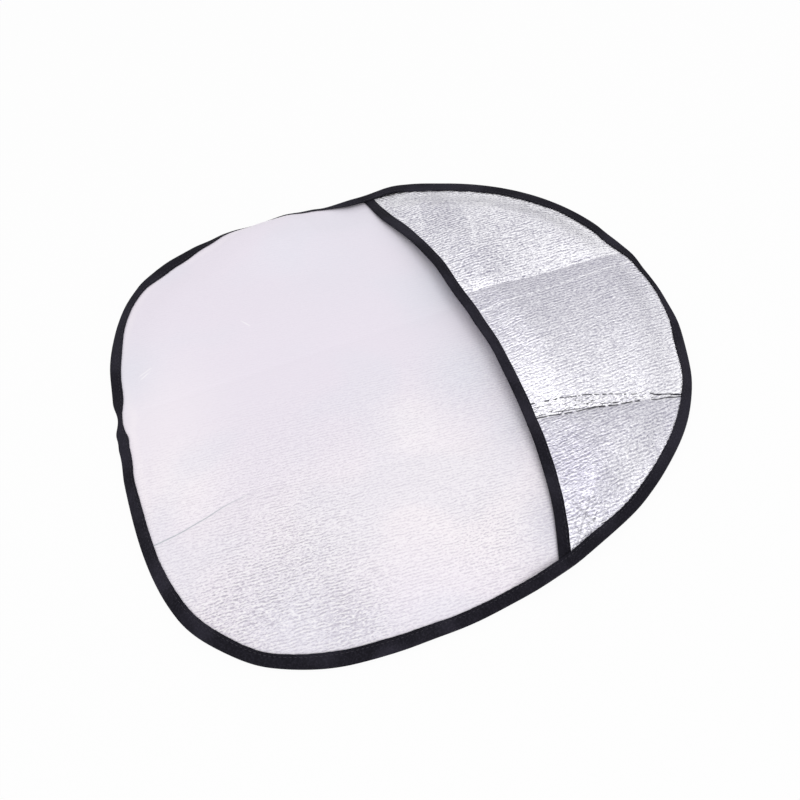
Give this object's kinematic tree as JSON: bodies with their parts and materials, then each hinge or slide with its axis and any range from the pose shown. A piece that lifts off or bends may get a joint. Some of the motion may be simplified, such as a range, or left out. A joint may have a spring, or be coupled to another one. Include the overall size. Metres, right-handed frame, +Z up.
{
  "type": "steering wheel sunshade",
  "caption": "Soft oval sunshade for a steering wheel: pearly foam sheet with a foil-faced pocket at its round end, bound in black tape.",
  "frame": {"origin": "on the floor below the middle of the shade's box, lying flat with the pocket uppermost", "axes": "+Y along the shade towards the pocket end, which is uppermost on the wheel; +Z up out of the pocket's face"},
  "size_m": [0.4068, 0.48, 0.0208],
  "materials": {
    "pearly_film": "satin white film on thin foam, foil-faced below",
    "bright_foil": "crinkled aluminium film on thin foam",
    "black_tape": "matt woven binding tape, folded and sewn"
  },
  "bodies": {
    "root": {"main_panel": "pearly_film", "pocket_panel": "bright_foil", "mouth_binding": "black_tape", "perimeter_binding": "black_tape"}
  },
  "joints": []
}
